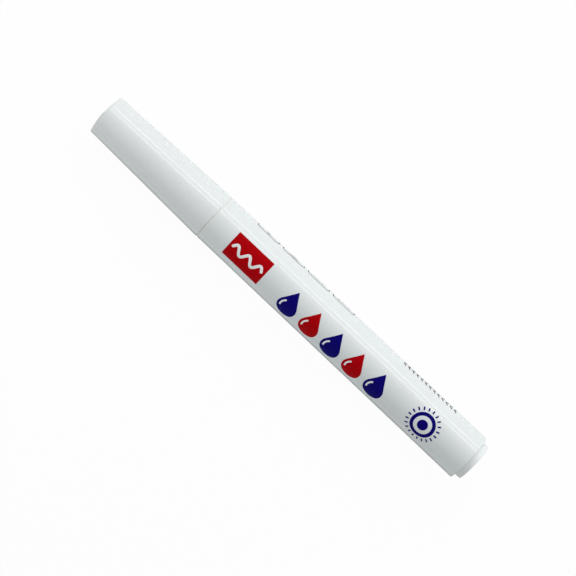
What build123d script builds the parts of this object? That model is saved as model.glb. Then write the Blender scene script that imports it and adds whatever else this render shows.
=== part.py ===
from build123d import *
import os

# Paint marker with a push-on cap and a pump valve, lying on its side. Sizes are in millimetres.
# X runs along the marker from the cap's domed end to the rear plug, and Z is up.
# The origin is on the surface that the marker lies on, under the middle of its length.

# Barrel and its rear plug
BARREL_LENGTH = 93.7
BARREL_DIAMETER = 14.0
BARREL_WALL = 1.2
BARREL_EDGE = 0.1
PLUG_STEP = 2.0
PLUG_DEPTH = 9.0
PLUG_WALL = 1.3
PLUG_SLACK = 0.15
PLUG_EDGE = 0.16
PLUG_RIB_WIDTH = 1.0
PLUG_RIB_SPACING = 2.6
PLUG_RIB_COUNT = 3

# Cap and the soft inner cap that seals round the nozzle
CAP_PROUD = 0.05
CAP_TAPER = 1.9
CAP_DOME_HEIGHT = 0.8
CAP_WALL = 1.1
CAP_END_WALL = 1.7
CAP_END_EDGE = 0.15
CAP_RIM_EDGE = 0.1
INNER_CAP_WALL = 0.8
INNER_CAP_OVERLAP = 4.1
LIP_LENGTH = 1.2
LIP_DEPTH = 0.95

# Front section, from the seam at the barrel forward to the nozzle
FLANGE_THICKNESS = 0.3
SEAM_RECESS = 0.24
SEAT_LENGTH = 10.0
SEAT_WALL = 1.5
SEAT_CHAMFER = 0.5
BEAD_STATION = 2.6
BEAD_WIDTH = 1.6
CONE_LENGTH = 9.0
NOZZLE_LENGTH = 7.0
NOZZLE_WALL = 1.28
NOZZLE_CHAMFER = 0.4
NIB_GUIDE_LENGTH = 12.0
FLUTE_COUNT = 4
FLUTE_WIDTH = 0.7
FLUTE_DEPTH = 0.3
SPIGOT_LENGTH = 11.0
SPIGOT_WALL = 1.2

# Nib
NIB_REACH = 6.0
NIB_SHANK = 1.6
NIB_POINT_STEP = 0.85
NIB_POINT_HEIGHT = 1.1
NIB_HEADROOM = 6.1
NIB_CHAMFER = 0.4

# Valve behind the nib
VALVE_TRAVEL = 2.5
VALVE_SOCKET_LENGTH = 7.0
VALVE_SEAT_THICKNESS = 2.0
VALVE_HOLE = 2.8
VALVE_CONE_DEPTH = 0.8
STEM_PIN_DIAMETER = 1.8
STEM_GUIDE_DIAMETER = 1.8
STEM_HEAD_LENGTH = 1.8
CAGE_WALL = 0.8
CAGE_END_WALL = 1.0
WINDOW_WIDTH = 2.4
WINDOW_MARGIN = 0.4
SPRING_LENGTH = 7.0
SPRING_WIRE = 0.45
SPRING_TURNS = 6

# Mixing ball
BALL_DIAMETER = 6.5

# Clearances
PRESS_FIT = 0.02
CAP_FIT = 0.12
BEAD_FIT = 0.05
LIP_FIT = 0.06
NIB_FIT = 0.06
STEM_FIT = 0.08
SPRING_FIT = 0.2
SPRING_END_GAP = 0.03
VALVE_CLOSED_GAP = 0.05
NIB_STEM_GAP = 0.1
NIB_STOP_GAP = 0.5
BALL_FIT = 0.05
BALL_STOP_GAP = 0.3

# Stations along X
NOSE_LENGTH = SEAT_LENGTH + CONE_LENGTH + NOZZLE_LENGTH
CAP_LENGTH = NOSE_LENGTH + NIB_REACH + NIB_HEADROOM + INNER_CAP_WALL + CAP_END_WALL
OVERALL_LENGTH = CAP_LENGTH + FLANGE_THICKNESS + BARREL_LENGTH + PLUG_STEP
cap_tip = -OVERALL_LENGTH / 2
cap_corner = cap_tip + CAP_DOME_HEIGHT
cap_floor = cap_tip + CAP_END_WALL
cap_rim = cap_tip + CAP_LENGTH
barrel_front = cap_rim + FLANGE_THICKNESS
barrel_rear = barrel_front + BARREL_LENGTH
plug_front = barrel_rear - PLUG_DEPTH
plug_end = barrel_rear + PLUG_STEP
seat_front = cap_rim - SEAT_LENGTH
cone_front = seat_front - CONE_LENGTH
nozzle_front = cone_front - NOZZLE_LENGTH
nib_tip = nozzle_front - NIB_REACH
guide_rear = nozzle_front + NIB_GUIDE_LENGTH
inner_cap_floor = cap_floor + INNER_CAP_WALL
inner_cap_mouth = nozzle_front + INNER_CAP_OVERLAP
spigot_rear = barrel_front + SPIGOT_LENGTH
valve_seat_front = spigot_rear - VALVE_SOCKET_LENGTH
valve_seat_rear = valve_seat_front + VALVE_SEAT_THICKNESS
nib_rear = valve_seat_front - VALVE_TRAVEL - NIB_STOP_GAP
stem_head_front = valve_seat_rear - VALVE_CONE_DEPTH + VALVE_CLOSED_GAP
stem_head_rear = valve_seat_rear + VALVE_CLOSED_GAP + STEM_HEAD_LENGTH
cage_floor = stem_head_rear + SPRING_LENGTH
cage_rear = cage_floor + CAGE_END_WALL

# Diameters
bore = BARREL_DIAMETER - 2 * BARREL_WALL
cap_rim_diameter = BARREL_DIAMETER + 2 * CAP_PROUD
cap_end_diameter = cap_rim_diameter - CAP_TAPER
spigot_diameter = bore - 2 * PRESS_FIT
socket_diameter = spigot_diameter - 2 * SPIGOT_WALL
valve_unit_diameter = socket_diameter - 2 * PRESS_FIT
cage_bore = valve_unit_diameter - 2 * CAGE_WALL
stem_head_diameter = VALVE_HOLE + 2 * VALVE_CONE_DEPTH
spring_diameter = STEM_GUIDE_DIAMETER + 2 * SPRING_FIT + SPRING_WIRE

# The marker lies on the widest ring, which is the cap's rim
AXIS_HEIGHT = max(cap_rim_diameter, BARREL_DIAMETER) / 2
LENGTH_AXIS = Axis((0, 0, AXIS_HEIGHT), (1, 0, 0))
HALF_SECTION = Plane(origin=(0, 0, AXIS_HEIGHT), x_dir=(1, 0, 0), z_dir=(0, -1, 0))


def cap_bore_at(station):
    """Inside diameter of the cap's tapered wall at a station along X."""
    narrowing = CAP_TAPER * (cap_rim - station) / (cap_rim - cap_corner)
    return cap_rim_diameter - 2 * CAP_WALL - narrowing


def inner_cap_diameter_at(station):
    """Outside diameter of the inner cap, which follows the cap's wall."""
    return cap_bore_at(station) - 2 * PRESS_FIT


seat_diameter = cap_bore_at(seat_front) - 2 * CAP_FIT
bead_front = cap_rim - BEAD_STATION - BEAD_WIDTH / 2
bead_rear = bead_front + BEAD_WIDTH
bead_diameter = cap_bore_at(bead_front) - 2 * BEAD_FIT
lip_bore = inner_cap_diameter_at(inner_cap_mouth) - 2 * INNER_CAP_WALL - 2 * LIP_DEPTH
nozzle_diameter = lip_bore - 2 * LIP_FIT
feed_bore = seat_diameter - 2 * SEAT_WALL
nib_bore = nozzle_diameter - 2 * NOZZLE_WALL
nib_diameter = nib_bore - 2 * NIB_FIT


def ring(start, end, inner, outer, mode=Mode.ADD):
    """Half section of a ring between two stations, from its two diameters."""
    with Locations(((start + end) / 2, (inner + outer) / 4)):
        Rectangle(end - start, (outer - inner) / 2, mode=mode)


def cone(start, end, start_diameter, end_diameter, mode=Mode.ADD):
    """Half section of a solid cone between two stations."""
    corners = (start, 0), (end, 0), (end, end_diameter / 2), (start, start_diameter / 2)
    Polygon(*corners, align=None, mode=mode)


def rims(piece):
    """Full circles on a turned piece."""
    return piece.edges().filter_by(GeomType.CIRCLE).filter_by(lambda edge: edge.is_closed)


# Barrel: a plain tube with softened outer edges
with BuildPart() as barrel:
    with BuildSketch(HALF_SECTION):
        ring(barrel_front, barrel_rear, bore, BARREL_DIAMETER)
    revolve(axis=LENGTH_AXIS)
    fillet(rims(barrel).group_by(SortBy.RADIUS)[-1], BARREL_EDGE)

# End plug: a cup pressed into the barrel, gripped by its ribs, with its closed end standing out
with BuildPart() as end_plug:
    plug_diameter = bore - 2 * PLUG_SLACK
    with BuildSketch(HALF_SECTION):
        ring(plug_front, plug_end, 0, plug_diameter)
        for rib in range(PLUG_RIB_COUNT):
            rib_front = plug_front + PLUG_RIB_WIDTH + rib * PLUG_RIB_SPACING
            ring(rib_front, rib_front + PLUG_RIB_WIDTH, 0, bore - 2 * PRESS_FIT)
        ring(plug_front, plug_end - PLUG_WALL, 0, plug_diameter - 2 * PLUG_WALL, Mode.SUBTRACT)
    revolve(axis=LENGTH_AXIS)
    fillet(rims(end_plug).sort_by(Axis.X)[-1], PLUG_EDGE)

# Cap: a tapered shell with a shallow domed end and an even wall
with BuildPart() as cap:
    with BuildSketch(HALF_SECTION):
        with BuildLine():
            TangentArc((cap_tip, 0), (cap_corner, cap_end_diameter / 2), tangent=(0, 1))
            Line((cap_corner, cap_end_diameter / 2), (cap_rim, cap_rim_diameter / 2))
            Polyline((cap_rim, cap_rim_diameter / 2), (cap_rim, 0), (cap_tip, 0))
        make_face()
        cone(cap_floor, cap_rim, cap_bore_at(cap_floor), cap_bore_at(cap_rim), Mode.SUBTRACT)
    revolve(axis=LENGTH_AXIS)
    fillet(rims(cap).sort_by(Axis.X)[0], CAP_END_EDGE)
    fillet(rims(cap).sort_by(SortBy.RADIUS)[-1], CAP_RIM_EDGE)

# Inner cap: a thin cup in the cap's end with a lip that closes round the nozzle
with BuildPart() as inner_cap:
    mouth_diameter = inner_cap_diameter_at(inner_cap_mouth)
    floor_diameter = inner_cap_diameter_at(cap_floor)
    lip_front = inner_cap_mouth - LIP_LENGTH
    both_walls = 2 * INNER_CAP_WALL
    with BuildSketch(HALF_SECTION):
        cone(cap_floor, inner_cap_mouth, floor_diameter, mouth_diameter)
        cone(
            inner_cap_floor,
            lip_front,
            inner_cap_diameter_at(inner_cap_floor) - both_walls,
            inner_cap_diameter_at(lip_front) - both_walls,
            Mode.SUBTRACT,
        )
        ring(lip_front, inner_cap_mouth, 0, lip_bore, Mode.SUBTRACT)
    revolve(axis=LENGTH_AXIS)

# Front section: spigot in the barrel, flange in the seam, cap seat with its bead, cone and nozzle
with BuildPart() as front_section:
    feed_front = seat_front + SEAT_CHAMFER
    with BuildSketch(HALF_SECTION):
        ring(barrel_front, spigot_rear, 0, spigot_diameter)
        ring(cap_rim, barrel_front, 0, BARREL_DIAMETER - 2 * SEAM_RECESS)
        ring(feed_front, cap_rim, 0, seat_diameter)
        cone(seat_front, feed_front, seat_diameter - 2 * SEAT_CHAMFER, seat_diameter)
        cone(cone_front, seat_front, nozzle_diameter, seat_diameter - 2 * SEAT_CHAMFER)
        ring(nozzle_front + NOZZLE_CHAMFER, cone_front, 0, nozzle_diameter)
        cone(
            nozzle_front,
            nozzle_front + NOZZLE_CHAMFER,
            nozzle_diameter - 2 * NOZZLE_CHAMFER,
            nozzle_diameter,
        )
        with BuildLine():
            bead_middle = ((bead_front + bead_rear) / 2, bead_diameter / 2)
            ThreePointArc((bead_front, seat_diameter / 2), bead_middle, (bead_rear, seat_diameter / 2))
            Line((bead_rear, seat_diameter / 2), (bead_front, seat_diameter / 2))
        make_face()
        ring(nozzle_front, guide_rear, 0, nib_bore, Mode.SUBTRACT)
        cone(guide_rear, feed_front, nib_bore, feed_bore, Mode.SUBTRACT)
        ring(feed_front, valve_seat_front, 0, feed_bore, Mode.SUBTRACT)
        ring(valve_seat_front, spigot_rear, 0, socket_diameter, Mode.SUBTRACT)
    revolve(axis=LENGTH_AXIS)
    nozzle_face = Plane(origin=(nozzle_front, 0, AXIS_HEIGHT), x_dir=(0, 1, 0), z_dir=(1, 0, 0))
    with BuildSketch(nozzle_face):
        with PolarLocations(nib_bore / 2, FLUTE_COUNT):
            Rectangle(2 * FLUTE_DEPTH, FLUTE_WIDTH)
    extrude(amount=NIB_GUIDE_LENGTH, mode=Mode.SUBTRACT)

# Nib: a fibre rod with a tapered bullet point
with BuildPart() as nib:
    cone_base = nozzle_front - NIB_SHANK
    point_base = nib_tip + NIB_POINT_HEIGHT
    point_radius = nib_diameter / 2 - NIB_POINT_STEP
    with BuildSketch(HALF_SECTION):
        ring(cone_base, nib_rear, 0, nib_diameter)
        cone(point_base, cone_base, 2 * point_radius, nib_diameter)
        with BuildLine():
            point = Bezier((nib_tip, 0), (nib_tip, point_radius), (point_base, point_radius))
            Polyline(point @ 1, (point_base, 0), point @ 0)
        make_face()
    revolve(axis=LENGTH_AXIS)
    chamfer(rims(nib).sort_by(Axis.X)[-1], NIB_CHAMFER)

# Valve seat: a soft ring with a coned hole that the stem closes
with BuildPart() as valve_seat:
    cone_start = valve_seat_rear - VALVE_CONE_DEPTH
    with BuildSketch(HALF_SECTION):
        ring(valve_seat_front, valve_seat_rear, 0, valve_unit_diameter)
        ring(valve_seat_front, cone_start, 0, VALVE_HOLE, Mode.SUBTRACT)
        cone(cone_start, valve_seat_rear, VALVE_HOLE, stem_head_diameter, Mode.SUBTRACT)
    revolve(axis=LENGTH_AXIS)

# Valve stem: front pin that the nib pushes, coned head, and rear guide inside the spring
with BuildPart() as valve_stem:
    with BuildSketch(HALF_SECTION):
        ring(nib_rear + NIB_STEM_GAP, stem_head_front, 0, STEM_PIN_DIAMETER)
        cone(stem_head_front, stem_head_front + VALVE_CONE_DEPTH, VALVE_HOLE, stem_head_diameter)
        ring(stem_head_front + VALVE_CONE_DEPTH, stem_head_rear, 0, stem_head_diameter)
        ring(stem_head_rear, cage_rear, 0, STEM_GUIDE_DIAMETER)
    revolve(axis=LENGTH_AXIS)

# Valve spring: one open coil between the stem's head and the cage's end
with BuildPart() as valve_spring:
    coil_height = SPRING_LENGTH - SPRING_WIRE - 2 * SPRING_END_GAP
    coil_pitch = coil_height / SPRING_TURNS
    coil_start = (stem_head_rear + SPRING_END_GAP + SPRING_WIRE / 2, 0, AXIS_HEIGHT)
    with BuildLine() as coil:
        Helix(coil_pitch, coil_height, spring_diameter / 2, center=coil_start, direction=(1, 0, 0))
    with BuildSketch(Plane(origin=coil.line @ 0, z_dir=coil.line % 0)):
        Circle(SPRING_WIRE / 2)
    sweep(path=coil.line, is_frenet=True)

# Valve cage: a slotted cup behind the seat that carries the spring and guides the stem
with BuildPart() as valve_cage:
    guide_hole = STEM_GUIDE_DIAMETER + 2 * STEM_FIT
    window_start = spigot_rear + WINDOW_MARGIN
    window_end = cage_floor - WINDOW_MARGIN
    window_middle = ((window_start + window_end) / 2, 0, AXIS_HEIGHT)
    with BuildSketch(HALF_SECTION):
        ring(valve_seat_rear, cage_rear, guide_hole, valve_unit_diameter)
        ring(valve_seat_rear, cage_floor, guide_hole, cage_bore, Mode.SUBTRACT)
    revolve(axis=LENGTH_AXIS)
    for facing in ((0, 0, 1), (0, 1, 0)):
        with BuildSketch(Plane(origin=window_middle, x_dir=(1, 0, 0), z_dir=facing)):
            Rectangle(window_end - window_start, WINDOW_WIDTH)
        extrude(amount=valve_unit_diameter, both=True, mode=Mode.SUBTRACT)

# Mixing ball: lies on the bottom of the bore, against the plug
ball_place = (
    plug_front - BALL_STOP_GAP - BALL_DIAMETER / 2,
    0,
    AXIS_HEIGHT - bore / 2 + BALL_FIT + BALL_DIAMETER / 2,
)
with BuildPart(Plane(origin=ball_place)) as mixing_ball:
    Sphere(BALL_DIAMETER / 2)

pieces = {
    "barrel": barrel,
    "end_plug": end_plug,
    "cap": cap,
    "inner_cap": inner_cap,
    "front_section": front_section,
    "nib": nib,
    "valve_seat": valve_seat,
    "valve_stem": valve_stem,
    "valve_spring": valve_spring,
    "valve_cage": valve_cage,
    "mixing_ball": mixing_ball,
}

os.makedirs("parts", exist_ok=True)
for name, piece in pieces.items():
    piece.part.label = name
    export_step(piece.part, f"parts/{name}.step")

ball_travel = ball_place[0] - BALL_DIAMETER / 2 - BALL_STOP_GAP - cage_rear - VALVE_TRAVEL
print(f"overall {OVERALL_LENGTH:.2f} mm long, axis {AXIS_HEIGHT:.3f} mm above the surface")
print(f"cap rim at {cap_rim:.3f}, barrel {barrel_front:.3f} to {barrel_rear:.3f}, end {plug_end:.3f}")
print(f"nib tip at {nib_tip:.3f}, inner cap floor {inner_cap_floor:.3f}, mouth {inner_cap_mouth:.3f}")
print(f"cage rear at {cage_rear:.3f}, plug front {plug_front:.3f}, ball travel {ball_travel:.2f}")
print(f"spring gap between turns {coil_pitch - SPRING_WIRE:.3f} mm")
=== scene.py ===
import bpy
import math
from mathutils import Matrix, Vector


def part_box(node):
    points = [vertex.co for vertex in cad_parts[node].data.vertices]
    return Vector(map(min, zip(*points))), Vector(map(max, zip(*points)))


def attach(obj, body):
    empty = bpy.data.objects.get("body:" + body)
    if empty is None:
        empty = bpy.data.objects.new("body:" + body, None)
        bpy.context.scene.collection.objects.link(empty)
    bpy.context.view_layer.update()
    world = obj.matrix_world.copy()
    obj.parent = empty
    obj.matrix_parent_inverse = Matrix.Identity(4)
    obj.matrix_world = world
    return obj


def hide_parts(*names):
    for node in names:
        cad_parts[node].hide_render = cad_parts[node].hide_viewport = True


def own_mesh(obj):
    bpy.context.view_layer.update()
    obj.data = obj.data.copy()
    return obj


# A capped paint marker lying on a pale floor. Sizes are in millimetres, and MM turns them into metres.
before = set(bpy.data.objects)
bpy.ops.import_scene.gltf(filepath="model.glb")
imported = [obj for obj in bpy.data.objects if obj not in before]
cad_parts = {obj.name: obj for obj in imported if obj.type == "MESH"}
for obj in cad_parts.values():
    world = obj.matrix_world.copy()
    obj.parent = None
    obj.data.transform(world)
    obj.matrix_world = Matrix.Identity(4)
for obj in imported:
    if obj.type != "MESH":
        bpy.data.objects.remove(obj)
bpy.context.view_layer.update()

MM = 0.001
FULL_TURN = 2 * math.pi
QUARTER_TURN = math.pi / 2
STANDING = (QUARTER_TURN, 0, 0)
SPIN_STEPS = 144
MERGE_DISTANCE = 0.0005 * MM
SMOOTH_ANGLE = math.radians(32)
EDGE_SEGMENTS = 4
RING_SLACK = 0.004

# Cap
CAP_TAPER = 0.95
CAP_DOME_HEIGHT = 0.8
CAP_DOME_RINGS = 10
CAP_WALL = 1.1
CAP_END_WALL = 1.7
CAP_END_EDGE = 0.15
CAP_RIM_EDGE = 0.1
CAP_MOUTH_EDGE = 0.15
CAP_RIM_RADIUS = 7.05

# Round mark that the mould's gate leaves in the middle of a moulded end
GATE_RADIUS = 0.7
GATE_DEPTH = 0.1
GATE_SLOPE = 0.12

# Inner cap
INNER_CAP_FIT = 0.02
INNER_CAP_WALL = 0.8
LIP_LENGTH = 1.2
LIP_DEPTH = 0.95
LIP_EDGE = 0.15

# Barrel
BARREL_WALL = 1.2
BARREL_EDGE = 0.1
BORE_EDGE = 0.25

# End plug
PLUG_SLACK = 0.15
PLUG_WALL = 1.3
PLUG_EDGE = 0.16
PLUG_RIB_WIDTH = 1.0
PLUG_RIB_SPACING = 2.6
PLUG_RIB_COUNT = 3
PLUG_DISH_RADIUS = 4.1
PLUG_DISH_DEPTH = 0.22
PLUG_DISH_SLOPE = 0.25

# Front section
NOZZLE_WALL = 1.28
NOZZLE_CHAMFER = 0.4
NOZZLE_LENGTH = 7.0
CONE_LENGTH = 9.0
SEAT_RADIUS = 5.59
SEAT_CHAMFER = 0.5
SEAT_WALL = 1.5
BEAD_STATION = 2.6
BEAD_WIDTH = 1.6
BEAD_HEIGHT = 0.228
BEAD_RINGS = 8
SPIGOT_FIT = 0.02
SPIGOT_WALL = 1.2
VALVE_SOCKET_LENGTH = 7.0
NIB_GUIDE_LENGTH = 12.0
FLUTE_COUNT = 4
FLUTE_WIDTH = 0.7
FLUTE_DEPTH = 0.3
FLUTE_END_GAP = 0.1
SECTION_EDGE = 0.15
SECTION_SEGMENTS = 2
CONE_EDGE = 0.3
CONE_SEGMENTS = 3

# Nib
NIB_FIT = 0.06
NIB_SHANK = 1.6
NIB_POINT_STEP = 0.85
NIB_POINT_HEIGHT = 1.1
NIB_POINT_RINGS = 8
NIB_CHAMFER = 0.4
NIB_SHOULDER_EDGE = 0.35
NIB_SHOULDER_SEGMENTS = 3

# Valve spring, between the stem's head and the end wall of the cage
SPRING_WIRE = 0.45
SPRING_TURNS = 6
SPRING_STEPS = 36
WIRE_POINTS = 14
CAGE_END_WALL = 1.0

# Mixing ball
BALL_RINGS = 48

# Print on the barrel: the arc runs round the barrel from the top, positive towards +Y
INK_LIFT = 0.004
INK_THICKNESS = 0.018
OVERPRINT_LIFT = 0.024
OVERPRINT_THICKNESS = 0.012
PRINT_FACET = 0.42
DISC_POINTS = 64
CORNER_SEGMENTS = 6
PANEL_MIDDLE = (-13.3, -2.15)
PANEL_SIZE = (12.5, 8.1)
PANEL_CORNER = 0.15
STROKE_LENGTH = 10.2
STROKE_SWING = 1.05
STROKE_WAVES = 2.5
STROKE_WIDTH = 0.8
STROKE_STEPS = 60
ROUND_END = 0.98
ROUND_END_REACH = 1.2
ROUND_END_SEGMENTS = 8
DROP_COUNT = 5
DROP_FIRST = 3.05
DROP_PITCH = 7.9
DROP_ARC = -3.35
DROP_RADIUS = 3.0
DROP_HEIGHT = 8.6
DROP_TIP_EDGE = 0.5
DROP_TIP_SEGMENTS = 4
DROP_CUT_SLACK = 0.01
GLINT_RADIUS = 2.05
GLINT_WIDTH = 0.5
GLINT_STEPS = 12
GLINT_START = math.radians(200)
GLINT_SWEEP = math.radians(75)
DIAL_MIDDLE = (50.8, -2.2)
DIAL_TICK_COUNT = 20
DIAL_TICK_RADIUS = 4.55
DIAL_TICK_SIZE = (0.42, 0.95)
DIAL_RING_RADIUS = 3.6
DIAL_RING_WIDTH = 1.0
DIAL_DOT_RADIUS = 1.5
DIAL_DOT_POINTS = 40
BOX_FIRST = -13.8
BOX_PITCH = 9.2
BOX_SIZE = (7.9, 5.6)
BOX_ARC = 11.0
BOX_CORNER = 1.0
LINE_WIDTH = 0.24
LINE_ROOT = 0.02

# Pictures in the boxes as lines of points from the box's middle: shake, press, draw, close
USE_PICTURES = [
    [
        [(0, -1.2), (0, 1.2)],
        [(-0.8, 0.95), (0, 1.75), (0.8, 0.95)],
        [(-0.8, -0.95), (0, -1.75), (0.8, -0.95)],
    ],
    [
        [(0, 1.8), (0, -0.45)],
        [(-0.8, -0.2), (0, -1.0), (0.8, -0.2)],
        [(-1.7, -1.7), (1.7, -1.7)],
    ],
    [
        [(-2.2, -0.7), (-1.32, 0.7), (-0.44, -0.7), (0.44, 0.7), (1.32, -0.7), (2.2, 0.7)],
    ],
    [
        [(2.0, 0), (-0.35, 0)],
        [(-0.1, 0.8), (-0.9, 0), (-0.1, -0.8)],
        [(-1.8, -1.6), (-1.8, 1.6)],
    ],
]

# Row of arrowheads behind the boxes
CHEVRON_START = 36.25
CHEVRON_ARC = 8.7
CHEVRON_COUNT = 13
CHEVRON_PITCH = 1.53
CHEVRON_SIZE = (0.75, 1.9)
CHEVRON_LINE = 0.36

# Moulded plastic: flow clouds and specks in its colour, skin and drag lines in its roughness and
# relief. A relief is a depth and a strength.
CLOUD_SIZE = 9.0
CLOUD_SHARE = 0.7
SPECK_SIZE = 0.6
SPECK_EDGE = 0.77
SPECK_SHARE = 0.3
SKIN_SIZE = 0.35
SKIN_ROUGHNESS = 0.05
SKIN_SHARE = 0.7
DRAG_SIZE = 0.3
DRAG_STRETCH = (0.03, 1, 1)
DRAG_ROUGHNESS = 0.03
DRAG_SHARE = 0.3
MEAN_ROUGHNESS = (SKIN_ROUGHNESS + DRAG_ROUGHNESS) / 2
PLASTIC_RELIEF = (0.004, 0.3)
PLASTIC_IOR = 1.49

# Printed ink: grain of the screen, thicker and thinner patches, and a few thin spots
GRAIN_SIZE = 0.16
GRAIN_ROUGHNESS = 0.1
PATCH_SIZE = 1.6
PATCH_SHARE = 0.45
THIN_SIZE = 0.22
THIN_EDGE = 0.78
THIN_SHARE = 0.4
INK_RELIEF = (0.008, 0.4)

# Nib felt: strands along the nib, and fuzz
STRAND_SIZE = 0.16
STRAND_STRETCH = (0.05, 1, 1)
STRAND_DETAIL = 4.0
STRAND_SHARE = 0.75
FUZZ_SIZE = 0.12
FUZZ_ROUGHNESS = 0.12
FUZZ_SHARE = 0.25
FELT_ROUGHNESS = 0.82
FELT_RELIEF = (0.06, 0.8)
FELT_DARK = (0.62, 0.6, 0.54, 1)
FELT_PALE = (0.86, 0.85, 0.81, 1)

# Steel: fine drawing marks
MARK_SIZE = 0.12
MARK_STRETCH = (1, 0.15, 1)
MARK_DETAIL = 3.0
MARK_ROUGHNESS = 0.12
STEEL_RELIEF = (0.006, 0.3)
STEEL_DARK = (0.5, 0.51, 0.53, 1)
STEEL_PALE = (0.66, 0.67, 0.68, 1)

# Camera, straight above the marker and turned so that it lies from upper left to lower right
CAMERA_HEIGHT = 650.0
CAMERA_FIELD = 154.5
CAMERA_TURN = math.radians(43.43)
CAMERA_AIM = (-0.14, -0.25)
SENSOR_WIDTH = 36.0

# Floor, its size in metres, and daylight. The white share is what the camera sees as background, and the rest
# shows the shadow. Reflections show the shadow beside the marker and turn white between two distances from it
# on each side. On the dark side, the paper seen in reflections is also painted darker, as a painted contact
# shadow on top of the real one.
FLOOR_SIZE = 6.0
FLOOR_WHITE = 0.96
FLOOR_PAPER = 0.95
LIT_SIDE_SHADE = (14.0, 60.0)
DARK_SIDE_SHADE = (12.0, 20.0)
# Grey that the paper is painted to in reflections on the dark side: a painted contact shadow
PAINTED_CONTACT_SHADOW = 0.4
AMBIENT = (0.376, 0.4, 0.404)


def reach(node):
    """First and last station of a CAD node along the marker, and its outside radius."""
    low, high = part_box(node)
    return low.x / MM, high.x / MM, (high.y - low.y) / 2 / MM


cap_tip, cap_rim, _ = reach("cap")
barrel_front, barrel_rear, barrel_radius = reach("barrel")
plug_front, plug_end, plug_rib_radius = reach("end_plug")
nozzle_front, spigot_rear, flange_radius = reach("front_section")
inner_cap_end, inner_cap_mouth, _ = reach("inner_cap")
nib_tip, nib_rear, nib_radius = reach("nib")
axis_height = (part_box("barrel")[0].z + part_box("barrel")[1].z) / 2 / MM
cap_corner = cap_tip + CAP_DOME_HEIGHT
bore_radius = barrel_radius - BARREL_WALL


# Shader expressions

class Value:
    """A socket in a node tree. Python's operators on it add Math nodes."""

    def __init__(self, nodes, socket):
        self.nodes = nodes
        self.socket = socket

    def math(self, operation, first, second):
        return self.nodes.node("Math", {"operation": operation}, {0: first, 1: second})

    def __add__(self, other):
        return self.math("ADD", self, other)

    def __radd__(self, other):
        return self.math("ADD", other, self)

    def __mul__(self, other):
        return self.math("MULTIPLY", self, other)

    def __rmul__(self, other):
        return self.math("MULTIPLY", other, self)

    def over(self, edge):
        """1 where this is greater than the edge, else 0."""
        return self.math("GREATER_THAN", self, edge)

    def most(self, other):
        """The greater of the two."""
        return self.math("MAXIMUM", self, other)


class Nodes:
    """Builds one node tree, a material's or the world's."""

    def __init__(self, tree):
        self.tree = tree
        tree.nodes.clear()

    def node(self, kind, settings=None, sockets=None, output=0):
        """Adds a node: its settings first, then the values or links of its sockets."""
        made = self.tree.nodes.new("ShaderNode" + kind)
        for name, value in (settings or {}).items():
            setattr(made, name, value)
        for key, value in (sockets or {}).items():
            if isinstance(value, Value):
                self.tree.links.new(value.socket, made.inputs[key])
            else:
                made.inputs[key].default_value = value
        return Value(self, made.outputs[output]) if made.outputs else made

    def place(self, stretch=(1, 1, 1)):
        """Object coordinates, stretched along each axis."""
        point = self.node("TexCoord", output="Object")
        return self.node("Mapping", {}, {"Vector": point, "Scale": stretch})

    def noise(self, place, size, detail=2.0):
        """Noise from 0 to 1 whose grains are about this many millimetres across."""
        sockets = {"Vector": place, "Scale": 1 / (size * MM), "Detail": detail}
        return self.node("TexNoise", {}, sockets)

    def blend(self, share, first, second):
        """Colour between two colours, which are sockets 6 and 7 of a Mix node."""
        settings = {"data_type": "RGBA"}
        return self.node("Mix", settings, {0: share, 6: first, 7: second}, output=2)

    def rays(self):
        """Which rays come from the camera, a reflection and glass, each as 0 or 1."""
        kinds = ("Is Camera Ray", "Is Glossy Ray", "Is Transmission Ray")
        return [self.node("LightPath", output=kind) for kind in kinds]

    def rise(self, distance, span):
        """Share that climbs from 0 to 1 over a span in millimetres."""
        sockets = {"Value": distance, "From Min": span[0] * MM, "From Max": span[1] * MM}
        return self.node("MapRange", {}, sockets)

    def bump(self, height, depth, strength):
        """Surface normal of a relief this many millimetres deep."""
        sockets = {"Height": height, "Distance": depth * MM, "Strength": strength}
        return self.node("Bump", {}, sockets)


def bare_material(name):
    """An empty material and the builder of its nodes."""
    made = bpy.data.materials.new(name)
    made.use_nodes = True
    return made, Nodes(made.node_tree)


def material(name, sockets_of):
    """A material with one Principled shader, whose sockets a function fills in."""
    made, nodes = bare_material(name)
    surface = nodes.node("BsdfPrincipled", {}, sockets_of(nodes))
    nodes.node("OutputMaterial", {}, {"Surface": surface})
    return made


def moulded(pale, deep, roughness, peel=SKIN_SIZE):
    """Injection-moulded plastic: faint flow clouds, fine drag lines along the marker, orange peel."""

    def sockets(nodes):
        place = nodes.place()
        lines = nodes.noise(nodes.place(DRAG_STRETCH), DRAG_SIZE)
        clouds = nodes.noise(place, CLOUD_SIZE)
        skin = nodes.noise(place, peel)
        specks = nodes.noise(place, SPECK_SIZE, detail=0.0).over(SPECK_EDGE)
        tint = clouds * CLOUD_SHARE + specks * SPECK_SHARE
        return {
            "Base Color": nodes.blend(tint, (*pale, 1), (*deep, 1)),
            "Roughness": roughness - MEAN_ROUGHNESS + skin * SKIN_ROUGHNESS + lines * DRAG_ROUGHNESS,
            "Normal": nodes.bump(skin * SKIN_SHARE + lines * DRAG_SHARE, *PLASTIC_RELIEF),
            "IOR": PLASTIC_IOR,
        }

    return sockets


def ink(colour, worn, roughness, sheen):
    """Screen-printed ink: a dense film with fine mesh texture and a few thin spots."""

    def sockets(nodes):
        place = nodes.place()
        grain = nodes.noise(place, GRAIN_SIZE)
        patches = nodes.noise(place, PATCH_SIZE)
        thin = nodes.noise(place, THIN_SIZE, detail=0.0).over(THIN_EDGE)
        wear = patches * PATCH_SHARE + thin * THIN_SHARE
        return {
            "Base Color": nodes.blend(wear, (*colour, 1), (*worn, 1)),
            "Roughness": roughness + grain * GRAIN_ROUGHNESS,
            "Normal": nodes.bump(grain, *INK_RELIEF),
            "Specular IOR Level": sheen,
        }

    return sockets


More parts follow.
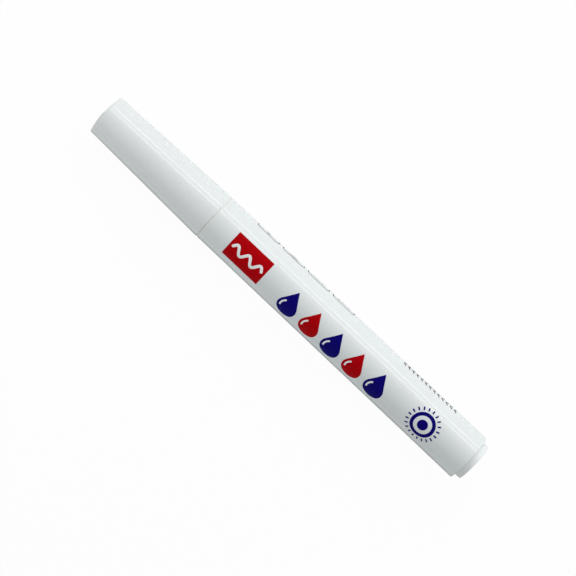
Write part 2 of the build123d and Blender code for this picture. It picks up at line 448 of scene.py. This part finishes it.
def fibre(nodes):
    """Bonded felt fibres that run along the nib, a little darker between the bundles."""
    strands = nodes.noise(nodes.place(STRAND_STRETCH), STRAND_SIZE, STRAND_DETAIL)
    fuzz = nodes.noise(nodes.place(), FUZZ_SIZE)
    return {
        "Base Color": nodes.blend(strands, FELT_DARK, FELT_PALE),
        "Roughness": FELT_ROUGHNESS + fuzz * FUZZ_ROUGHNESS,
        "Normal": nodes.bump(strands * STRAND_SHARE + fuzz * FUZZ_SHARE, *FELT_RELIEF),
    }


def steel(roughness):
    """Bright steel with fine drawing marks."""

    def sockets(nodes):
        marks = nodes.noise(nodes.place(MARK_STRETCH), MARK_SIZE, MARK_DETAIL)
        return {
            "Base Color": nodes.blend(marks, STEEL_DARK, STEEL_PALE),
            "Metallic": 1.0,
            "Roughness": roughness + marks * MARK_ROUGHNESS,
            "Normal": nodes.bump(marks, *STEEL_RELIEF),
        }

    return sockets


barrel_white = material("barrel_white", moulded((0.83, 0.85, 0.855), (0.805, 0.825, 0.83), 0.07))
cap_white = material("cap_white", moulded((0.832, 0.848, 0.85), (0.807, 0.823, 0.825), 0.07))
plug_white = material("plug_white", moulded((0.875, 0.89, 0.887), (0.845, 0.86, 0.857), 0.34, peel=0.5))
cream = material("cream_plastic", moulded((0.88, 0.865, 0.765), (0.85, 0.835, 0.735), 0.36))
waxy = material("waxy_plastic", moulded((0.80, 0.80, 0.77), (0.75, 0.75, 0.72), 0.5, peel=0.6))
acetal = material("acetal", moulded((0.78, 0.78, 0.76), (0.73, 0.73, 0.71), 0.4))
felt = material("nib_felt", fibre)
spring_wire = material("spring_wire", steel(0.25))
polished_ball = material("polished_ball", steel(0.12))
navy_ink = material("navy_ink", ink((0.003, 0.001, 0.15), (0.008, 0.005, 0.2), 0.34, 0.03))
red_ink = material("red_ink", ink((0.46, 0.0, 0.003), (0.53, 0.003, 0.006), 0.34, 0.03))
white_ink = material("white_ink", ink((0.95, 0.94, 0.94), (0.92, 0.91, 0.91), 0.4, 0.3))
black_ink = material("black_ink", ink((0.012, 0.012, 0.014), (0.03, 0.03, 0.034), 0.4, 0.15))


# Modelling steps that several pieces share

def upright(station, height):
    """A place or a step in the plane that stands along the marker's axis."""
    return (station * MM, 0, height * MM)


def deselect():
    """Clears the selection, which holds the CAD nodes after loading."""
    bpy.ops.object.select_all(action="DESELECT")


def hold(piece):
    """Makes a piece the only one that operators act on."""
    deselect()
    piece.select_set(True)
    bpy.context.view_layer.objects.active = piece


def named(name):
    """Names the primitive just added and puts its place into its mesh."""
    piece = bpy.context.object
    piece.name = name
    piece.data.name = name
    bpy.ops.object.transform_apply(location=True, rotation=True, scale=True)
    return piece


def edit(piece, kind="VERT"):
    """Opens a piece in edit mode with everything selected."""
    hold(piece)
    bpy.ops.object.mode_set(mode="EDIT")
    bpy.ops.mesh.select_mode(type=kind)
    bpy.ops.mesh.select_all(action="SELECT")


def leave():
    """Goes back to object mode."""
    bpy.ops.object.mode_set(mode="OBJECT")


def pick(piece, wanted, kind="VERT"):
    """Opens a piece in edit mode with only the points that pass selected, or the edges between them."""
    edit(piece, kind)
    bpy.ops.mesh.select_all(action="DESELECT")
    leave()
    mesh = piece.data
    passed = [wanted(point.co) for point in mesh.vertices]
    if kind == "VERT":
        for point, chosen in zip(mesh.vertices, passed):
            point.select = chosen
    else:
        for side in mesh.edges:
            side.select = all(passed[i] for i in side.vertices)
    bpy.ops.object.mode_set(mode="EDIT")


def apply(piece, kind, **settings):
    """Adds a modifier with these settings and applies it."""
    hold(piece)
    modifier = piece.modifiers.new(kind.title(), kind)
    for name, value in settings.items():
        setattr(modifier, name, value)
    bpy.ops.object.modifier_apply(modifier=modifier.name)


def join(pieces):
    """Joins pieces into the first of them."""
    deselect()
    for piece in pieces:
        piece.select_set(True)
    bpy.context.view_layer.objects.active = pieces[0]
    bpy.ops.object.join()
    return pieces[0]


def finish(piece, look, body, nodes=()):
    """Smooths a piece, gives it its material and ties it to its body.

    A piece in the place of CAD nodes has its normals weighted by area, so that its long walls shade straight.
    """
    hold(piece)
    bpy.ops.object.shade_smooth_by_angle(angle=SMOOTH_ANGLE)
    if nodes:
        apply(piece, "WEIGHTED_NORMAL", keep_sharp=True)
    piece.data.materials.clear()
    piece.data.materials.append(look)
    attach(piece, body)
    if nodes:
        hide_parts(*nodes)


# Turned pieces

def turned(name, profile, height=axis_height):
    """Draws a half profile of (station, radius) points and spins it round an axis along the marker.

    A profile that runs back to its first point makes a tube.
    """
    deselect()
    station, radius = profile[0]
    start = upright(station, height + radius)
    bpy.ops.mesh.primitive_plane_add(size=MM, location=start)
    piece = named(name)
    edit(piece)
    bpy.ops.mesh.merge(type="CENTER")
    for here, there in zip(profile, profile[1:]):
        step = upright(there[0] - here[0], there[1] - here[1])
        bpy.ops.mesh.extrude_region_move(TRANSFORM_OT_translate={"value": step})
    bpy.ops.mesh.select_all(action="SELECT")
    centre = upright(0, height)
    bpy.ops.mesh.spin(steps=SPIN_STEPS, angle=FULL_TURN, center=centre, axis=(1, 0, 0))
    bpy.ops.mesh.select_all(action="SELECT")
    bpy.ops.mesh.remove_doubles(threshold=MERGE_DISTANCE)
    bpy.ops.mesh.normals_make_consistent(inside=False)
    leave()
    return piece


def soften(piece, station, radius, width, segments=EDGE_SEGMENTS):
    """Rounds the ring edge at a station and radius."""

    def on_ring(point):
        off_axis = math.hypot(point.y, point.z - axis_height * MM) / MM
        return abs(point.x / MM - station) < RING_SLACK and abs(off_axis - radius) < RING_SLACK

    pick(piece, on_ring, "EDGE")
    bpy.ops.mesh.bevel(offset=width * MM, segments=segments, affect="EDGES")
    leave()


def cap_radius_at(station):
    """Outside radius of the cap's tapered wall."""
    return CAP_RIM_RADIUS - CAP_TAPER * (cap_rim - station) / (cap_rim - cap_corner)


def gate_mark(face_station, inward):
    """Half profile of the gate's round dent in an end face, from the axis out."""
    floor = face_station + inward * GATE_DEPTH
    return [(floor, 0), (floor, GATE_RADIUS)]


def make_cap():
    """The tapered cap with its domed end."""
    end_radius = cap_radius_at(cap_corner)
    dome_radius = (end_radius**2 + CAP_DOME_HEIGHT**2) / (2 * CAP_DOME_HEIGHT)
    floor = cap_tip + CAP_END_WALL
    first = GATE_RADIUS + GATE_SLOPE
    dome = []
    for ring in range(CAP_DOME_RINGS + 1):
        radius = first + (end_radius - first) * ring / CAP_DOME_RINGS
        dome.append((cap_tip + dome_radius - math.sqrt(dome_radius**2 - radius**2), radius))
    mouth_radius = CAP_RIM_RADIUS - CAP_WALL
    inside = [(floor, cap_radius_at(floor) - CAP_WALL), (floor, 0)]
    outside = [(cap_rim, CAP_RIM_RADIUS), (cap_rim, mouth_radius)]
    piece = turned("cap_shell", gate_mark(cap_tip, 1) + dome + outside + inside)
    soften(piece, cap_corner, end_radius, CAP_END_EDGE)
    soften(piece, cap_rim, CAP_RIM_RADIUS, CAP_RIM_EDGE)
    soften(piece, cap_rim, mouth_radius, CAP_MOUTH_EDGE)
    finish(piece, cap_white, "cap", ["cap"])


def make_inner_cap():
    """The soft cup that seals round the nozzle with its lip."""
    lip_front = inner_cap_mouth - LIP_LENGTH
    floor = inner_cap_end + INNER_CAP_WALL

    def outside(station):
        return cap_radius_at(station) - CAP_WALL - INNER_CAP_FIT

    lip_radius = outside(inner_cap_mouth) - INNER_CAP_WALL - LIP_DEPTH
    profile = [
        (inner_cap_end, 0),
        (inner_cap_end, outside(inner_cap_end)),
        (inner_cap_mouth, outside(inner_cap_mouth)),
        (inner_cap_mouth, lip_radius),
        (lip_front, lip_radius),
        (lip_front, outside(lip_front) - INNER_CAP_WALL),
        (floor, outside(floor) - INNER_CAP_WALL),
        (floor, 0),
    ]
    piece = turned("inner_cap_cup", profile)
    soften(piece, inner_cap_mouth, outside(inner_cap_mouth), LIP_EDGE)
    soften(piece, inner_cap_mouth, lip_radius, LIP_EDGE)
    finish(piece, waxy, "cap", ["inner_cap"])


def make_barrel():
    """The plain tube that holds the paint."""
    profile = [
        (barrel_front, barrel_radius),
        (barrel_rear, barrel_radius),
        (barrel_rear, bore_radius),
        (barrel_front, bore_radius),
        (barrel_front, barrel_radius),
    ]
    piece = turned("barrel_tube", profile)
    for station in (barrel_front, barrel_rear):
        soften(piece, station, barrel_radius, BARREL_EDGE)
        soften(piece, station, bore_radius, BORE_EDGE)
    finish(piece, barrel_white, "marker_body", ["barrel"])


def make_end_plug():
    """The ribbed stopper with a shallow dish in its end."""
    side = bore_radius - PLUG_SLACK
    dish = plug_end - PLUG_DISH_DEPTH
    inside = side - PLUG_WALL
    profile = gate_mark(dish, -1)
    profile += [(dish, GATE_RADIUS + GATE_SLOPE), (dish, PLUG_DISH_RADIUS)]
    profile += [(plug_end, PLUG_DISH_RADIUS + PLUG_DISH_SLOPE), (plug_end, side)]
    for rib in reversed(range(PLUG_RIB_COUNT)):
        front = plug_front + PLUG_RIB_WIDTH + rib * PLUG_RIB_SPACING
        rear = front + PLUG_RIB_WIDTH
        profile += [(rear, side), (rear, plug_rib_radius), (front, plug_rib_radius), (front, side)]
    profile += [(plug_front, side), (plug_front, inside)]
    profile += [(plug_end - PLUG_WALL, inside), (plug_end - PLUG_WALL, 0)]
    piece = turned("end_plug_cup", profile)
    soften(piece, plug_end, side, PLUG_EDGE)
    soften(piece, plug_end, PLUG_DISH_RADIUS + PLUG_DISH_SLOPE, PLUG_DISH_SLOPE / 2)
    finish(piece, plug_white, "marker_body", ["end_plug"])


def cut_flutes(piece, bore):
    """Cuts the paint grooves along the nib's guide."""
    length = NIB_GUIDE_LENGTH - FLUTE_END_GAP
    cutters = []
    for flute in range(FLUTE_COUNT):
        angle = FULL_TURN * flute / FLUTE_COUNT
        deselect()
        bpy.ops.mesh.primitive_cube_add(size=1)
        cutter = bpy.context.object
        cutter.scale = (2 * length * MM, 2 * FLUTE_DEPTH * MM, FLUTE_WIDTH * MM)
        cutter.rotation_euler = (angle, 0, 0)
        across = math.cos(angle) * bore
        up = axis_height + math.sin(angle) * bore
        cutter.location = (nozzle_front * MM, across * MM, up * MM)
        cutters.append(named(f"flute_cutter_{flute}"))
    cutter = join(cutters)
    apply(piece, "BOOLEAN", operation="DIFFERENCE", solver="EXACT", object=cutter)
    bpy.data.objects.remove(cutter)


def make_front_section():
    """Nozzle, cone, cap seat with its bead, flange and spigot in one moulding."""
    bore = nib_radius + NIB_FIT
    nozzle = bore + NOZZLE_WALL
    cone_front = nozzle_front + NOZZLE_LENGTH
    seat_front = cone_front + CONE_LENGTH
    feed_front = seat_front + SEAT_CHAMFER
    feed = SEAT_RADIUS - SEAT_WALL
    spigot = bore_radius - SPIGOT_FIT
    socket = spigot - SPIGOT_WALL
    socket_front = spigot_rear - VALVE_SOCKET_LENGTH
    bead_front = cap_rim - BEAD_STATION - BEAD_WIDTH / 2
    bead = []
    for ring in range(BEAD_RINGS + 1):
        share = ring / BEAD_RINGS
        height = BEAD_HEIGHT * (1 - (2 * share - 1) ** 2)
        bead.append((bead_front + BEAD_WIDTH * share, SEAT_RADIUS + height))
    nose = [
        (nozzle_front, bore),
        (nozzle_front, nozzle - NOZZLE_CHAMFER),
        (nozzle_front + NOZZLE_CHAMFER, nozzle),
        (cone_front, nozzle),
        (seat_front, SEAT_RADIUS - SEAT_CHAMFER),
        (feed_front, SEAT_RADIUS),
    ]
    rear = [
        (cap_rim, SEAT_RADIUS),
        (cap_rim, flange_radius),
        (barrel_front, flange_radius),
        (barrel_front, spigot),
        (spigot_rear, spigot),
        (spigot_rear, socket),
        (socket_front, socket),
        (socket_front, feed),
        (feed_front, feed),
        (nozzle_front + NIB_GUIDE_LENGTH, bore),
    ]
    piece = turned("front_section_body", nose + bead + rear + nose[:1])
    soften(piece, nozzle_front, nozzle - NOZZLE_CHAMFER, SECTION_EDGE, SECTION_SEGMENTS)
    soften(piece, nozzle_front + NOZZLE_CHAMFER, nozzle, SECTION_EDGE, SECTION_SEGMENTS)
    soften(piece, cone_front, nozzle, CONE_EDGE, CONE_SEGMENTS)
    soften(piece, seat_front, SEAT_RADIUS - SEAT_CHAMFER, SECTION_EDGE, SECTION_SEGMENTS)
    cut_flutes(piece, bore)
    finish(piece, cream, "marker_body", ["front_section"])


def make_nib():
    """The fibre rod with its bullet point."""
    point_base = nib_tip + NIB_POINT_HEIGHT
    point_radius = nib_radius - NIB_POINT_STEP
    shoulder = nozzle_front - NIB_SHANK
    profile = []
    for ring in range(NIB_POINT_RINGS + 1):
        share = ring / NIB_POINT_RINGS
        station = nib_tip + NIB_POINT_HEIGHT * share**2
        profile.append((station, point_radius * (2 * share - share**2)))
    profile += [(shoulder, nib_radius), (nib_rear - NIB_CHAMFER, nib_radius)]
    profile += [(nib_rear, nib_radius - NIB_CHAMFER), (nib_rear, 0)]
    piece = turned("nib_rod", profile)
    soften(piece, point_base, point_radius, NIB_SHOULDER_EDGE, NIB_SHOULDER_SEGMENTS)
    soften(piece, shoulder, nib_radius, NIB_SHOULDER_EDGE, NIB_SHOULDER_SEGMENTS)
    finish(piece, felt, "nib", ["nib"])


def make_mixing_ball():
    """The steel ball that stirs the paint, turned on its own axis."""
    front, rear, radius = reach("mixing_ball")
    profile = []
    for ring in range(BALL_RINGS + 1):
        angle = math.pi * ring / BALL_RINGS
        profile.append(((front + rear) / 2 - radius * math.cos(angle), radius * math.sin(angle)))
    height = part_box("mixing_ball")[0].z / MM + radius
    piece = turned("mixing_ball_round", profile, height)
    finish(piece, polished_ball, "mixing_ball", ["mixing_ball"])


def make_valve_spring():
    """An open coil of wire at the CAD spring's length. In the marker it shortens towards the cage as the nib
    pushes the stem back.
    """
    front, rear, outside = reach("valve_spring")
    half_wire = SPRING_WIRE / 2
    deselect()
    where = upright(0, outside - half_wire)
    bpy.ops.mesh.primitive_circle_add(
        vertices=WIRE_POINTS,
        radius=half_wire * MM,
        location=where,
        rotation=STANDING,
    )
    piece = named("valve_spring_coil")
    apply(
        piece,
        "SCREW",
        axis="X",
        screw_offset=(rear - front - SPRING_WIRE) / SPRING_TURNS * MM,
        iterations=SPRING_TURNS,
        steps=SPRING_STEPS,
        render_steps=SPRING_STEPS,
    )
    piece.location = upright(front + half_wire, axis_height)
    bpy.ops.object.transform_apply(location=True, rotation=True, scale=True)
    edit(piece)
    bpy.ops.mesh.fill_holes(sides=WIRE_POINTS)
    bpy.ops.mesh.select_all(action="SELECT")
    bpy.ops.mesh.normals_make_consistent(inside=False)
    leave()
    finish(piece, spring_wire, "marker_body", ["valve_spring"])
    cage_floor = reach("valve_cage")[1] - CAGE_END_WALL
    anchor = upright(cage_floor, axis_height)
    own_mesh(piece)


# Print: flat artwork is drawn standing, station across and arc upward, then bent round the barrel

def flat_plane(name, middle, size):
    """A standing rectangle, by its middle and size."""
    deselect()
    where = upright(*middle)
    bpy.ops.mesh.primitive_plane_add(size=1, location=where, rotation=STANDING)
    bpy.context.object.scale = (size[0] * MM, size[1] * MM, 1)
    return named(name)


def flat_disc(name, middle, radius, points=DISC_POINTS):
    """A standing disc, by its middle and radius."""
    deselect()
    bpy.ops.mesh.primitive_circle_add(
        vertices=points,
        radius=radius * MM,
        fill_type="NGON",
        location=upright(*middle),
        rotation=STANDING,
    )
    return named(name)


def round_corners(piece, radius):
    """Rounds all corners of a flat piece."""
    edit(piece)
    bpy.ops.mesh.bevel(offset=radius * MM, segments=CORNER_SEGMENTS, affect="VERTICES")
    leave()


def outline(piece, width):
    """Leaves only a band of this width along a flat piece's edge."""
    edit(piece, "FACE")
    bpy.ops.mesh.inset(thickness=width * MM)
    bpy.ops.mesh.delete(type="FACE")
    leave()


def turn_flat(angle, pivot):
    """Turns what is selected in a flat piece round a point, from along the marker towards the arc."""
    bpy.ops.transform.rotate(value=angle, orient_axis="Y", center_override=upright(*pivot))


def cross_line(name, middle, width):
    """Starts a flat piece as one line across, which stays open for extruding or spinning."""
    piece = flat_plane(name, middle, (LINE_ROOT, width))
    edit(piece)
    bpy.ops.mesh.remove_doubles(threshold=2 * LINE_ROOT * MM)
    return piece


def stroke(name, points, width):
    """A line of even width through these points, with mitred corners."""
    legs = [math.atan2(there[1] - here[1], there[0] - here[0]) for here, there in zip(points, points[1:])]
    piece = cross_line(name, points[0], width)
    heading = legs[0]
    spread = 1.0
    turn_flat(heading, points[0])
    for here, there, leg, following in zip(points, points[1:], legs, legs[1:] + legs[-1:]):
        move = upright(there[0] - here[0], there[1] - here[1])
        bpy.ops.mesh.extrude_region_move(TRANSFORM_OT_translate={"value": move})
        bend = math.remainder(following - leg, FULL_TURN) / 2
        turn_flat(leg + bend - heading, there)
        heading = leg + bend
        wider = 1 / math.cos(bend) / spread
        spread *= wider
        bpy.ops.transform.resize(value=(wider, wider, wider), center_override=upright(*there))
    leave()
    return piece


def wavy_stroke(name, middle):
    """A round-ended stroke that swings up and down, as a marker draws it."""
    half = STROKE_WIDTH / 2
    points = []
    for step in range(STROKE_STEPS + 1):
        share = step / STROKE_STEPS
        swing = STROKE_SWING * math.sin(FULL_TURN * STROKE_WAVES * share)
        points.append((middle[0] + STROKE_LENGTH * (share - 0.5), middle[1] + swing))

    def beyond(inner, outer):
        longer = 1 + half / math.dist(inner, outer)
        return tuple(a + (b - a) * longer for a, b in zip(inner, outer))

    ends = [beyond(points[1], points[0]), beyond(points[-2], points[-1])]
    piece = stroke(name, [ends[0], *points, ends[1]], STROKE_WIDTH)

    def at_end(point):
        distances = [math.dist((point.x / MM, point.z / MM), end) for end in ends]
        return min(distances) < ROUND_END_REACH * half

    pick(piece, at_end)
    bpy.ops.mesh.bevel(offset=half * ROUND_END * MM, segments=ROUND_END_SEGMENTS, affect="VERTICES")
    leave()
    return piece


def wrap(piece, look, lift, thickness):
    """Bends flat artwork round the barrel, makes it a thin film and ties it to the marker."""
    radius = (barrel_radius + lift) * MM
    heights = [point.co.z for point in piece.data.vertices]
    low, high = min(heights), max(heights)
    cuts = max(1, math.ceil((high - low) / (PRINT_FACET * MM)))
    inward = sum(face.normal.y * face.area for face in piece.data.polygons) > 0
    edit(piece)
    if inward:
        bpy.ops.mesh.flip_normals()
    for cut in range(1, cuts):
        bpy.ops.mesh.select_all(action="SELECT")
        level = low + (high - low) * cut / cuts
        bpy.ops.mesh.bisect(plane_co=(0, 0, level), plane_no=(0, 0, 1))
    bpy.ops.mesh.select_all(action="SELECT")
    bpy.ops.mesh.remove_doubles(threshold=MERGE_DISTANCE)
    leave()
    bend = (high - low) / radius
    apply(piece, "SIMPLE_DEFORM", deform_method="BEND", deform_axis="X", angle=bend)
    piece.rotation_euler = (-QUARTER_TURN, 0, 0)
    piece.location = (0, 0, axis_height * MM + radius)
    bpy.ops.object.transform_apply(location=True, rotation=True, scale=True)
    apply(piece, "SOLIDIFY", thickness=thickness * MM, offset=1.0)
    finish(piece, look, "marker_body")


def make_panel():
    """A red panel with a white wavy stroke printed over it."""
    panel = flat_plane("label_panel", PANEL_MIDDLE, PANEL_SIZE)
    round_corners(panel, PANEL_CORNER)
    wrap(panel, red_ink, INK_LIFT, INK_THICKNESS)
    wave = wavy_stroke("label_stroke", PANEL_MIDDLE)
    wrap(wave, white_ink, OVERPRINT_LIFT, OVERPRINT_THICKNESS)


def make_drop(number):
    """One printed paint drop with a bright glint."""
    station = DROP_FIRST + number * DROP_PITCH
    middle = (station, DROP_ARC + DROP_RADIUS - DROP_HEIGHT / 2)
    tip_height = DROP_HEIGHT - DROP_RADIUS
    neck = DROP_RADIUS**2 / tip_height
    piece = flat_disc(f"drop_{number + 1}", middle, DROP_RADIUS)
    edit(piece)
    cut = upright(0, middle[1] + neck)
    bpy.ops.mesh.bisect(plane_co=cut, plane_no=(0, 0, 1), clear_outer=True)
    leave()
    pick(piece, lambda point: point.z > (middle[1] + neck - DROP_CUT_SLACK) * MM, "EDGE")
    move = upright(0, tip_height - neck)
    bpy.ops.mesh.extrude_region_move(TRANSFORM_OT_translate={"value": move})
    bpy.ops.mesh.merge(type="CENTER")
    bpy.ops.mesh.bevel(offset=DROP_TIP_EDGE * MM, segments=DROP_TIP_SEGMENTS, affect="VERTICES")
    leave()
    wrap(piece, navy_ink if number % 2 == 0 else red_ink, INK_LIFT, INK_THICKNESS)
    root = (middle[0] + GLINT_RADIUS, middle[1])
    glint = cross_line(f"drop_glint_{number + 1}", root, GLINT_WIDTH)
    turn_flat(QUARTER_TURN, root)
    turn_flat(GLINT_START, middle)
    pivot = upright(*middle)
    bpy.ops.mesh.spin(steps=GLINT_STEPS, angle=GLINT_SWEEP, center=pivot, axis=(0, -1, 0))
    leave()
    wrap(glint, white_ink, OVERPRINT_LIFT, OVERPRINT_THICKNESS)


def make_dial():
    """A dot as wide as the marker's stroke, in a ring with ticks."""
    pivot = upright(*DIAL_MIDDLE)
    dot = flat_disc("dial", DIAL_MIDDLE, DIAL_DOT_RADIUS, DIAL_DOT_POINTS)
    ring = flat_disc("dial_ring", DIAL_MIDDLE, DIAL_RING_RADIUS)
    outline(ring, DIAL_RING_WIDTH)
    tick_middle = (DIAL_MIDDLE[0], DIAL_MIDDLE[1] + DIAL_TICK_RADIUS)
    tick = flat_plane("dial_ticks", tick_middle, DIAL_TICK_SIZE)
    edit(tick)
    bpy.ops.mesh.spin(steps=DIAL_TICK_COUNT, dupli=True, angle=FULL_TURN, center=pivot, axis=(0, 1, 0))
    bpy.ops.mesh.select_all(action="SELECT")
    bpy.ops.mesh.remove_doubles(threshold=MERGE_DISTANCE)
    leave()
    wrap(join([dot, ring, tick]), navy_ink, INK_LIFT, INK_THICKNESS)


def make_use_boxes():
    """Four outlined boxes on the back, each with a plain picture."""
    for number, picture in enumerate(USE_PICTURES):
        station = BOX_FIRST + number * BOX_PITCH
        box = flat_plane(f"use_box_{number + 1}", (station, BOX_ARC), BOX_SIZE)
        round_corners(box, BOX_CORNER)
        outline(box, LINE_WIDTH)
        lines = []
        for points in picture:
            placed = [(station + x, BOX_ARC + y) for x, y in points]
            lines.append(stroke("use_line", placed, LINE_WIDTH))
        wrap(join([box, *lines]), black_ink, INK_LIFT, INK_THICKNESS)


def make_chevrons():
    """A row of small arrowheads along the back that points to the cap."""
    tail = CHEVRON_START + CHEVRON_SIZE[0]
    reach_up = CHEVRON_SIZE[1] / 2
    points = [
        (tail, CHEVRON_ARC + reach_up),
        (CHEVRON_START, CHEVRON_ARC),
        (tail, CHEVRON_ARC - reach_up),
    ]
    row = stroke("chevron_row", points, CHEVRON_LINE)
    apply(
        row,
        "ARRAY",
        count=CHEVRON_COUNT,
        use_relative_offset=False,
        use_constant_offset=True,
        constant_offset_displace=(CHEVRON_PITCH * MM, 0, 0),
    )
    wrap(row, black_ink, INK_LIFT, INK_THICKNESS)


make_cap()
make_inner_cap()
make_barrel()
make_end_plug()
make_front_section()
make_nib()
make_valve_spring()
make_mixing_ball()
make_panel()
for drop in range(DROP_COUNT):
    make_drop(drop)
make_dial()
make_use_boxes()
make_chevrons()

# Finishes of the valve's other pieces, which keep their CAD shapes
kept_finishes = {
    "valve_seat": waxy,
    "valve_stem": acetal,
    "valve_cage": acetal,
}
for node, look in kept_finishes.items():
    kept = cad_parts[node]
    kept.data.materials.clear()
    kept.data.materials.append(look)


# Floor, light and camera

def grey(level):
    """A grey as a colour."""
    return (level, level, level, 1)


def make_floor():
    """A pale floor that shows as white and keeps the marker's shadow, with a painted shadow beside it in
    reflections.
    """
    deselect()
    bpy.ops.mesh.primitive_plane_add(size=FLOOR_SIZE)
    floor = named("floor")
    made, nodes = bare_material("floor_white")
    white = nodes.node("Emission", {}, {"Color": grey(1), "Strength": 1.0})
    seen, glossy, through = nodes.rays()
    across = nodes.node("SeparateXYZ", {}, {0: nodes.place()}, output="Y")
    reflected = nodes.rise(across, LIT_SIDE_SHADE).most(nodes.rise(-1 * across, DARK_SIDE_SHADE))
    # Reflections on the dark side see the paper painted dark: a painted shadow beside the marker, added to
    # its real shadow
    painted_shadow_share = glossy * (-1 * across).over(0.0)
    tone = nodes.blend(painted_shadow_share, grey(FLOOR_PAPER), grey(PAINTED_CONTACT_SHADOW))
    paper = nodes.node("BsdfDiffuse", {}, {"Color": tone})
    share = seen.most(glossy * reflected).most(through) * FLOOR_WHITE
    surface = nodes.node("MixShader", {}, {0: share, 1: paper, 2: white})
    nodes.node("OutputMaterial", {}, {"Surface": surface})
    floor.data.materials.append(made)


def make_world():
    """Even daylight on the marker, with white behind it and in its reflections."""
    world = bpy.data.worlds.new("studio")
    bpy.context.scene.world = world
    world.use_nodes = True
    nodes = Nodes(world.node_tree)
    seen, glossy, through = nodes.rays()
    share = seen.most(glossy).most(through)
    colour = nodes.blend(share, (*AMBIENT, 1), grey(1))
    sky = nodes.node("Background", {}, {"Color": colour, "Strength": 1.0})
    nodes.node("OutputWorld", {}, {"Surface": sky})


def make_area_light(name, lean, distance, size, radiance, along=0.0, roll=0.0):
    """An area light that leans from straight above towards +Y, in metres and degrees."""
    lean = math.radians(lean)
    data = bpy.data.lights.new(name, "AREA")
    data.shape = "RECTANGLE"
    data.size = size[0]
    data.size_y = size[1]
    data.energy = radiance * math.pi * size[0] * size[1]
    light = bpy.data.objects.new(name, data)
    light.location = (along, distance * math.sin(lean), axis_height * MM + distance * math.cos(lean))
    light.rotation_mode = "ZYX"
    light.rotation_euler = (-lean, 0, math.radians(roll))
    light.visible_camera = False
    bpy.context.scene.collection.objects.link(light)


def make_lights():
    """Two softboxes and two strips on the lit side, and two weak fills on the dark side."""
    softbox = {"distance": 0.5, "size": (0.95, 0.48)}
    strip = {"distance": 0.45, "size": (0.6, 0.05), "radiance": 2.47, "roll": 16}
    make_area_light("side_softbox", lean=59, radiance=0.55, **softbox)
    make_area_light("upper_softbox", lean=42, radiance=0.52, **softbox)
    make_area_light("near_strip", lean=41, **strip)
    make_area_light("far_strip", lean=61.5, **strip)
    make_area_light("low_fill", lean=-84, distance=0.45, size=(0.9, 0.08), radiance=0.38, along=0.2)
    make_area_light("cap_fill", lean=-60, distance=0.15, size=(0.1, 0.1), radiance=2.58, along=-0.2)


def make_camera():
    """A long lens, so that the marker is seen almost without perspective."""
    data = bpy.data.cameras.new("camera")
    data.sensor_width = SENSOR_WIDTH
    data.lens = SENSOR_WIDTH * CAMERA_HEIGHT / CAMERA_FIELD
    camera = bpy.data.objects.new("camera", data)
    camera.location = (CAMERA_AIM[0] * MM, CAMERA_AIM[1] * MM, (axis_height + CAMERA_HEIGHT) * MM)
    camera.rotation_euler = (0, 0, CAMERA_TURN)
    bpy.context.scene.collection.objects.link(camera)
    bpy.context.scene.camera = camera


make_floor()
make_world()
make_lights()
make_camera()
bpy.context.scene.view_settings.view_transform = "Standard"
